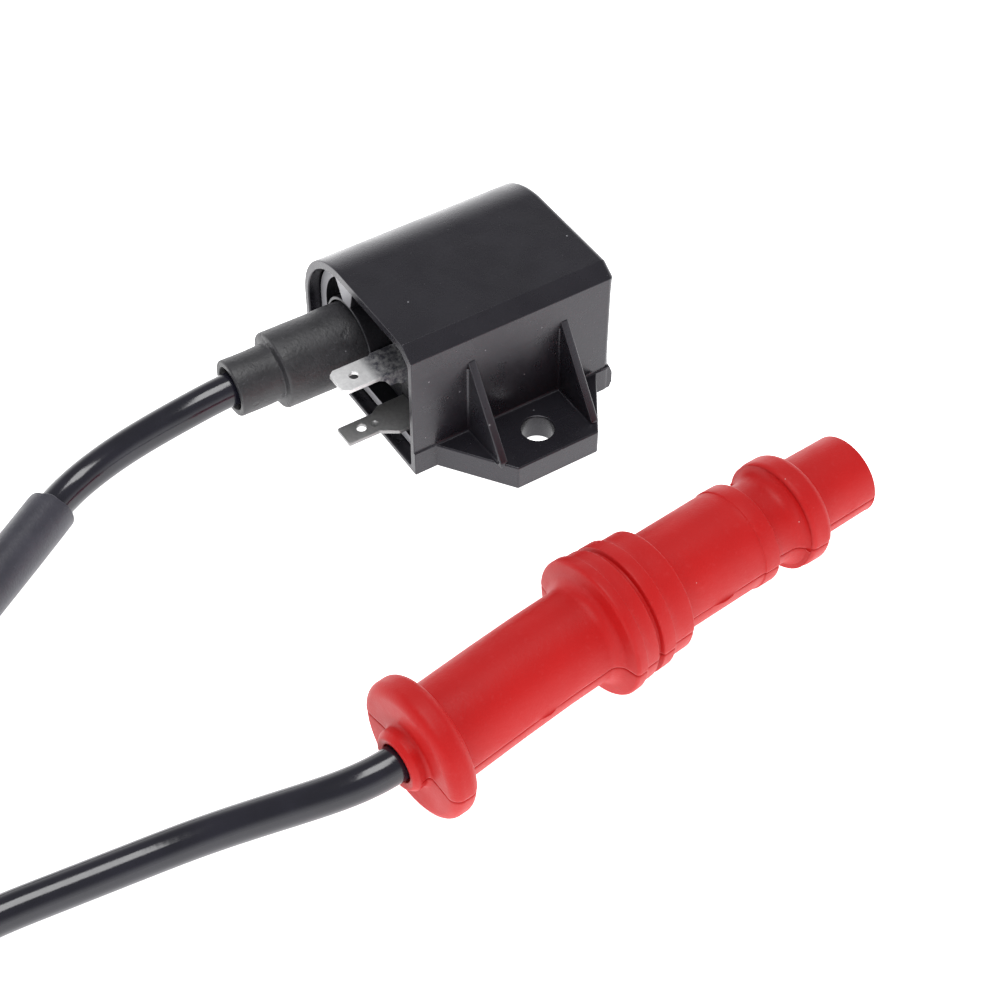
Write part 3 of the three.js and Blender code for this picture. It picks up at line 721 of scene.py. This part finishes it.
none = [0.0] * len(oc)
toward_x = [-math.copysign(1.0, c[0]) for c in oc]
toward_z = [1.0 if c[1] < 1 else (-1.0 if c[1] > H - 0.1 else 0.0) for c in oc]
rings = []
for j in range(5):
    q = j / 4 * math.pi / 2
    d = 0.20 * (1 - math.sin(q))
    rings.append(at_y(drawn([v * d for v in toward_x], [v * d for v in toward_z], d * 0.5), 0.20 * (1 - math.cos(q))))
rings.append(at_y(drawn(none, none, 0.0), 0.9))
for j in range(8):
    q = j / 7 * math.pi / 2
    t = 1 - math.cos(q)
    rings.append(at_y(drawn([v[0] * t for v in back_in], [v[1] * t for v in back_in], 0.0), L - 1.35 * (1 - math.sin(q))))
verts, faces = loft(rings)
housing = make("coil_housing", verts, faces, housing_mat)

HM = housing_mat
half = W / 2
for sx in (1, -1):
    out = [(18.5, 3.74), (20.0, 4.34), (33.4, 14.15), (33.4, 31.8), (20.0, 40.47), (18.5, 41.07)]
    out = [(sx * x, y) for x, y in out]
    if sx < 0:
        out = out[::-1]
    fl = prism(out, 0, 5.45, "z", 0.32, HM, "flange")
    boolean(housing, fl)
    top = 22.7 if sx > 0 else 15.6
    for y in (11.8, 31.8):
        tri = [(19.0, 4.6), (31.2, 4.6), (31.2, 5.75), (20.0, top), (19.0, top)]
        tri = [(sx * x, z) for x, z in tri]
        if sx < 0:
            tri = tri[::-1]
        boolean(housing, prism(tri, y, y + 1.6, "y", 0.36, HM, "gusset"))
        # small fillets beside the gusset, down the wall and along the flange
        for side in (-1, 1):
            yy = y if side < 0 else y + 1.6
            boolean(housing, fillet((sx * half, yy, 5.2), (sx * half, yy, top - 1.6), (sx, 0, 0), (0, side, 0), 0.45, HM))
            boolean(housing, fillet((sx * 19.8, yy, 5.45), (sx * 30.2, yy, 5.45), (0, side, 0), (0, 0, 1), 0.40, HM))
    boolean(housing, fillet((sx * half, 4.9, 5.45), (sx * half, 39.9, 5.45), (sx, 0, 0), (0, 0, 1), 0.55, HM))
foot = prism(rounded([(L - 2.2, 0.0, 0.0, 1), (L + 0.0, 0.0, 0.2, 4), (L + 0.55, 1.4, 0.8, 6), (L + 0.5, 3.7, 1.0, 6), (L - 0.2, 5.7, 0.5, 4), (L - 2.2, 5.7, 0.0, 1)]),
             -half + 0.2, half + 0.25, "x", 0.6, HM, "foot")
boolean(housing, foot)


def cutter(profile, seg, x, y, z=0.0):
    v, f = lathe(profile, seg, (x, y, z), (0, 0, 1))
    return make("cutter", v, f, HM)


for sx in (1, -1):
    prof = [(0, -1), (3.5, -1), (3.5, 0.0), (3.22, 0.12), (3.1, 0.35), (3.1, 5.1), (3.2, 5.33), (3.45, 5.46), (3.6, 6.6), (0, 6.6)]
    boolean(housing, cutter(prof, 64, sx * 26.57, 22.8), "DIFFERENCE")
# the cavity, its mouth edge eased
inner = section(1.4, 1.2, 2.0, 1.7, 0.5, 0)
n_in = inward(inner)
rings = []
for grown, y in ((0.55, -1.0), (0.30, -0.02), (0.16, 0.06), (0.05, 0.2), (0.0, 0.42), (0.0, L - 1.6)):
    rings.append(at_y(inner - n_in * grown, y))
verts, faces = loft(rings)
boolean(housing, make("cavity", verts, faces, housing_mat), "DIFFERENCE")
shade(housing, 30)
weighted(housing)
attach(housing, "coil")
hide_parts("housing")

# ------------------------------------------------------------------ carrier, tower and web
c_out = section(1.7, 1.5, 2.3, 2.0, 0.4, 0)
c_in = section(3.9, 3.7, 4.5, 4.4, 0.5, 0)
rings = [at_y(c_in, 40.2), at_y(c_in, 3.0)]
for t, y in ((0.0, 2.72), (0.03, 2.58), (0.10, 2.51), (0.9, 2.5), (0.97, 2.58), (1.0, 2.8)):
    rings.append(at_y(c_in * (1 - t) + c_out * t, y))
rings += [at_y(c_out, 3.1), at_y(c_out, 41.5)]
verts, faces = loft(rings)
carrier = make("carrier_cup", verts, faces, carrier_mat)
tower_prof = [(7.75, 14.1), (7.75, 1.35), (7.85, 1.16), (8.05, 1.1), (8.2, 1.13), (8.36, 1.25), (8.4, 1.5), (8.4, 15.6), (1.6, 15.6), (1.6, 14.1)]
v, f = lathe(tower_prof, 96, (-5.0, 0, 13.9), closed=True)
boolean(carrier, make("tower", v, f, carrier_mat))
web = prism([(-10.6, 27.4), (-2.3, 27.4), (-3.2, 25.9), (-4.3, 21.4), (-6.5, 21.4), (-9.0, 25.6)], 1.2, 15.4, "y", 0.2, carrier_mat, "web")
boolean(carrier, web)
# the bore stays clear of the web's foot
boolean(carrier, make("bore", *lathe([(0, 0), (7.75, 0), (7.75, 14.1), (0, 14.1)], 96, (-5.0, 0, 13.9)), carrier_mat), "DIFFERENCE")
# the mouth faces that look towards −Y get a much lighter copy of the nylon: painted light, for the light those faces
# catch from that side
carrier.data.materials.append(painted_light_rim_mat)
for face in carrier.data.polygons:
    c, n = face.center / MM, face.normal
    y = c[1] - MOUTH_Y
    if n.y < -0.6 and 1.1 < y < 2.75 and math.hypot(c[0] + 5.0, c[2] - 13.9) > 8.5:
        face.material_index = len(carrier.data.materials) - 1
shade(carrier, 30)
weighted(carrier)
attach(carrier, "coil")
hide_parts("coil_carrier")

# ------------------------------------------------------------------ terminals
TM = tin_mat
blade = prism(rounded([(4.45, -8.3, 0.7, 5), (9.15, -8.3, 0.7, 5), (9.95, -7.2, 0.5, 4), (9.95, 8.0, 0, 1), (3.25, 8.0, 0, 1), (3.25, 0.9, 0.2, 3),
                       (3.65, 0.3, 0.2, 3), (3.65, -7.3, 0.5, 4)]), 16.2, 17.0, "z", 0.16, TM, "primary_blade")
flap = prism([(-1.0, 16.2), (-1.0, 16.7), (8.0, 16.7), (8.0, 13.2), (3.6, 13.2), (2.8, 13.8), (1.4, 13.8), (0.2, 15.5)], 9.15, 9.95, "x", 0.14, TM, "flap")
boolean(blade, flap)
boolean(blade, cutter([(0, 15.5), (1.05, 15.5), (1.05, 16.15), (0.9, 16.3), (0.9, 16.85), (0.97, 16.97), (1.12, 17.06), (1.2, 17.5), (0, 17.5)], 40, 6.8, -4.5), "DIFFERENCE")
blade.data.materials.clear()
blade.data.materials.append(TM)
shade(blade, 30)
weighted(blade)
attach(blade, "coil")
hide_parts("primary_terminal")

ground = prism(rounded([(7.45, -9.0, 0.35, 4), (11.85, -9.0, 0.35, 4), (12.0, -8.6, 0.3, 3), (12.0, -2.6, 0.5, 4), (14.05, 0.6, 0.6, 4), (14.05, 8.0, 0, 1), (6.0, 8.0, 0, 1),
                        (6.0, 0.6, 0.6, 4), (7.3, -1.7, 0.5, 4), (7.3, -8.6, 0.3, 3)]), 5.2, 6.0, "z", 0.14, tin_dull_mat, "ground_blade")
boolean(ground, cutter([(0, 4.5), (1.1, 4.5), (1.1, 5.15), (0.95, 5.3), (0.95, 5.88), (1.05, 6.0), (1.15, 6.4), (0, 6.4)], 40, 9.45, -5.0), "DIFFERENCE")
boolean(ground, cutter([(0, 5.78), (0.35, 5.80), (0.62, 5.88), (0.85, 6.02), (0.9, 6.4), (0, 6.4)], 32, 9.95, -2.4), "DIFFERENCE")
ground.data.materials.clear()
ground.data.materials.append(tin_dull_mat)
shade(ground, 30)
weighted(ground)
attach(ground, "coil")
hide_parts("ground_terminal")

# ------------------------------------------------------------------ outlet boot
boot_prof = open_rounded([(3.45, 11.0), (3.45, -19.6, 2.0, 5), (4.25, -24.0, 0.2, 4), (5.5, -24.0, 0.35, 6), (5.5, -15.3, 0.3, 5), (7.44, -15.1, 0.55, 6), (7.44, 11.0, 0.5, 5), (3.45, 11.0)])
rng = np.random.default_rng(11)
nick = rng.normal(0, 1, (8, 3))


def boot_wobble(r, h, q):
    """slight hand-trimmed unevenness of the rubber edges"""
    w = 0.035 * math.sin(3 * q + 1.1 + 0.5 * h) + 0.02 * math.sin(7 * q + 2.0 - 0.9 * h)
    return r + (w if r > 3.6 else 0.3 * w)


dense = [boot_prof[0]]
for p in boot_prof[1:]:
    d = np.linalg.norm(p - dense[-1])
    k = max(1, int(d / 1.6))
    a = dense[-1]
    for j in range(1, k + 1):
        dense.append(a + (p - a) * j / k)
v, f = lathe(dense[:-1], 96, (-5.0, 0, 13.9), closed=True, wobble=boot_wobble)
boot = make("outlet_boot_rubber", v, f, boot_mat, 40)
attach(boot, "outlet_boot")
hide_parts("outlet_boot")


# ------------------------------------------------------------------ sleeve on the lead
def sleeve_wobble(r, h, q):
    w = 0.05 * math.sin(2 * q + 0.07 * h) + 0.03 * math.sin(3 * q + 1.7 + 0.15 * h)
    return r + w


sprof = [(3.6, 0.06), (3.66, 0.0), (4.38, 0.0), (4.47, 0.08), (4.5, 0.25)]
sprof += [(4.5, s) for s in np.arange(2.0, 29.5, 2.0)]
sprof += [(4.5, 30.35), (4.47, 30.52), (4.38, 30.6), (3.66, 30.6), (3.6, 30.54)]
sprof += [(3.6, s) for s in np.arange(28.0, 1.0, -4.0)]
sleeve_from = SLEEVE_AT + SLEEVE_DIR * SLEEVE_START
v, f = lathe(sprof, 72, sleeve_from, SLEEVE_DIR, closed=True, wobble=sleeve_wobble)
# the cut end is not quite square and has a small burr
cut = (v - sleeve_from) @ SLEEVE_DIR
side = (v - sleeve_from) @ np.cross(SLEEVE_DIR, [0, 0, 1.0])
fade = np.clip(1 - cut / 6.0, 0, 1)
v = v + SLEEVE_DIR * (fade * (0.10 * side + 0.12 * np.sin(side * 1.9)))[:, None]
v[:, 2] = np.maximum(v[:, 2], 0.0)
sleeve = make("sleeve_tube", v, f, sleeve_mat, 40)
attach(sleeve, "sleeve")
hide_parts("lead_sleeve")

# ------------------------------------------------------------------ plug cap shell
cap_corners = [
    (3.5, -19.3), (3.5, -40.6, 0.3, 4), (4.7, -40.95, 0.5, 5), (5.45, -39.9, 0.7, 5), (5.45, -38.0, 0.7, 7),
    (12.4, -38.4, 2.0, 14), (12.45, -33.0, 2.1, 14), (8.7, -32.9, 0.3, 5),
    (8.7, -0.5, 2.3, 12), (12.75, 0.3, 0.8, 8), (12.7, 2.45, 0.14, 4), (12.3, 2.45, 0.10, 3), (12.2, 5.35, 0.3, 5),
    (11.25, 5.65, 0.2, 4), (11.25, 6.35, 0.2, 4), (12.1, 6.65, 0.3, 5), (12.02, 9.25, 0.2, 5), (11.38, 9.25, 0.15, 3), (11.3, 14.05, 0.45, 6), (9.35, 14.05, 0.5, 5),
    (9.33, 31.7, 0.1, 3), (9.55, 31.85, 0.1, 3), (9.5, 35.15, 0.45, 6), (8.0, 35.15, 0.3, 4),
    (8.0, 41.1, 2.3, 12), (10.3, 41.35, 1.5, 10), (10.3, 46.45, 1.7, 12), (7.65, 46.45, 0.35, 5), (7.48, 59.0, 0.35, 6),
    (5.0, 59.0, 0.25, 4), (5.0, 34.6, 0, 1), (5.9, 34.6, 0, 1), (5.9, -19.3, 0, 1), (3.5, -19.3)]
prof = open_rounded(cap_corners)
dense = [prof[0]]
for p in prof[1:]:
    a = dense[-1]
    d = np.linalg.norm(p - a)
    k = max(1, int(d / 1.2))
    for j in range(1, k + 1):
        dense.append(a + (p - a) * j / k)
dense = np.array(dense[:-1])
# angles round the axis: even steps, plus close ones at the two parting lines
even = np.linspace(0, 360, 120, endpoint=False)
near = []
for c in (0.0, 180.0):
    near += [c - 1.1, c - 0.75, c - 0.35, c, c + 0.35, c + 0.75, c + 1.1]
ang = sorted(set(round(a % 360, 3) for a in list(even) + near if True))
ang = [a for a in ang if not any(0 < abs(((a - c + 180) % 360) - 180) < 1.1 and a not in [round(n % 360, 3) for n in near] for c in (0.0, 180.0))]
ang = np.radians(np.array(ang))
side_dir = np.cross(CAP_AXIS, [0, 0, 1.0])
is_outer = np.zeros(len(dense), bool)
first_outer = int(np.argmin(np.linalg.norm(dense - np.array([5.45, -39.0]), axis=1)))
last_outer = int(np.argmin(np.linalg.norm(dense - np.array([7.49, 58.5]), axis=1)))
is_outer[first_outer:last_outer + 1] = True
TABS = ((-15.6, 1.8, 0.42), (22.6, 2.4, 0.50))
rings = []
d1 = np.gradient(dense, axis=0)
d1 /= np.maximum(1e-9, np.linalg.norm(d1, axis=1))[:, None]
out_n = np.stack([d1[:, 1], -d1[:, 0]], 1)
for i, (r, s) in enumerate(dense):
    pts = []
    bow = cap_bow(s) if (is_outer[i] or s < -19.0 or s > 58.0) else 0.0
    for a in ang:
        rr, ss = r, s
        if is_outer[i]:
            off = min(abs(((a - c + math.pi) % (2 * math.pi)) - math.pi) for c in (0.0, math.pi)) * r
            groove = math.exp(-((off / 0.14) ** 2)) * 0.30
            lift = 0.0
            for at, wide, tall in TABS:
                if abs(s - at) < wide:
                    lift = max(lift, tall * (1 - abs(s - at) / wide) ** 0.6)
            lip = lift * math.exp(-((off / 0.16) ** 2))
            low = 0.09 if math.sin(a) < -0.01 else 0.0
            move = lip - low - (0.0 if lift > 0.05 else groove)
            rr += move * out_n[i][0]
            ss += move * out_n[i][1]
        pts.append(CAP_AT + CAP_AXIS * ss + CAP_SIDE * bow + rr * (math.cos(a) * side_dir + math.sin(a) * np.array([0, 0, 1.0])))
    rings.append(np.array(pts))
v, f = loft(rings, closed=True)
v[:, 2] = np.maximum(v[:, 2], 0.0)
shell = make("plug_cap_shell", v, f, red_mat, 46)
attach(shell, "plug_cap")
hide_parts("cap_shell")

# ------------------------------------------------------------------ tie round the put-away turns
r0, r1, z1 = RING_R - LEAD_R, RING_R + LEAD_R, Z_HIGH + LEAD_R
tie = prism(rounded([(r0 - 1.15, 0.0, 1.2, 6), (r1 + 1.15, 0.0, 1.2, 6), (r1 + 1.15, z1 + 1.1, 2.0, 8), (r0 - 1.15, z1 + 1.1, 2.0, 8)]),
            -1.8, 1.8, "y", 0.18, tie_mat, "turns_tie")
boolean(tie, prism(rounded([(r0 - 0.35, 0.8, 0.8, 6), (r1 + 0.35, 0.8, 0.8, 6), (r1 + 0.35, z1 + 0.3, 1.3, 8), (r0 - 0.35, z1 + 0.3, 1.3, 8)]),
                   -3.0, 3.0, "y", 0, tie_mat, "inside"), "DIFFERENCE")
boolean(tie, prism([(r1 + 0.9, 5.0), (r1 + 4.4, 5.0), (r1 + 4.4, 10.0), (r1 + 0.9, 10.0)], -2.6, 2.6, "y", 0.5, tie_mat, "head"))
boolean(tie, prism([(r1 + 1.7, 9.6), (r1 + 2.9, 9.6), (r1 + 2.9, 12.2), (r1 + 1.7, 12.2)], -1.7, 1.7, "y", 0.2, tie_mat, "tail"))
for k in range(9):
    x = r0 + 0.6 + k * 0.62
    boolean(tie, prism([(x, z1 + 0.9), (x + 0.30, z1 + 0.9), (x + 0.15, z1 + 1.28)], -1.3, 1.3, "y", 0, tie_mat, "tooth"))
to_ring = Matrix.Translation(Vector((RING_C + SHIFT) * MM)) @ Matrix.Rotation(math.radians(280.0), 4, "Z") @ Matrix.Translation(Vector(-SHIFT * MM))
tie.data.transform(to_ring)
shade(tie, 30)
weighted(tie)
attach(tie, "coil")
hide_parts("coil_tie")

# ------------------------------------------------------------------ floor and light
floor_mesh = bpy.data.meshes.new("floor")
floor_mesh.from_pydata([(-4, -4, -0.0002), (4, -4, -0.0002), (4, 4, -0.0002), (-4, 4, -0.0002)], [], [(0, 1, 2, 3)])
floor = bpy.data.objects.new("floor", floor_mesh)
scene.collection.objects.link(floor)
ft = Tree("floor_paper")
ft.colour(ft.mix(ft.noise(3.0, 2), (0.86, 0.86, 0.87), (0.88, 0.88, 0.88)))
ft.set(Roughness=0.9, Emission_Color=(1, 1, 1, 1), Emission_Strength=1.28)
floor_mesh.materials.append(ft.mat)

world = bpy.data.worlds.new("studio")
scene.world = world
world.use_nodes = True
wt = world.node_tree
wt.nodes.clear()
wo = wt.nodes.new("ShaderNodeOutputWorld")
bg = wt.nodes.new("ShaderNodeBackground")
tc = wt.nodes.new("ShaderNodeTexCoord")
sep = wt.nodes.new("ShaderNodeSeparateXYZ")
ramp = wt.nodes.new("ShaderNodeMapRange")
ramp.interpolation_type = "SMOOTHSTEP"
wt.links.new(tc.outputs["Generated"], sep.inputs[0])
wt.links.new(sep.outputs["Z"], ramp.inputs["Value"])
ramp.inputs["From Min"].default_value = 0.0
ramp.inputs["From Max"].default_value = 0.62
ramp.inputs["To Min"].default_value = 2.0
ramp.inputs["To Max"].default_value = 0.42
wt.links.new(ramp.outputs[0], bg.inputs["Strength"])
bg.inputs["Color"].default_value = (0.985, 0.985, 1.0, 1)
wt.links.new(bg.outputs[0], wo.inputs[0])


def area(name, at, aim, size, watts):
    ld = bpy.data.lights.new(name, "AREA")
    ld.shape = "RECTANGLE"
    ld.size, ld.size_y = size
    ld.energy = watts
    ob = bpy.data.objects.new(name, ld)
    scene.collection.objects.link(ob)
    ob.location = at
    ob.rotation_mode = "QUATERNION"
    ob.rotation_quaternion = (Vector(aim) - Vector(at)).to_track_quat("-Z", "Y")
    return ob


area("softbox_top", (0.05, -0.02, 1.05), (0.02, -0.01, 0.0), (0.46, 0.62), 7.5)
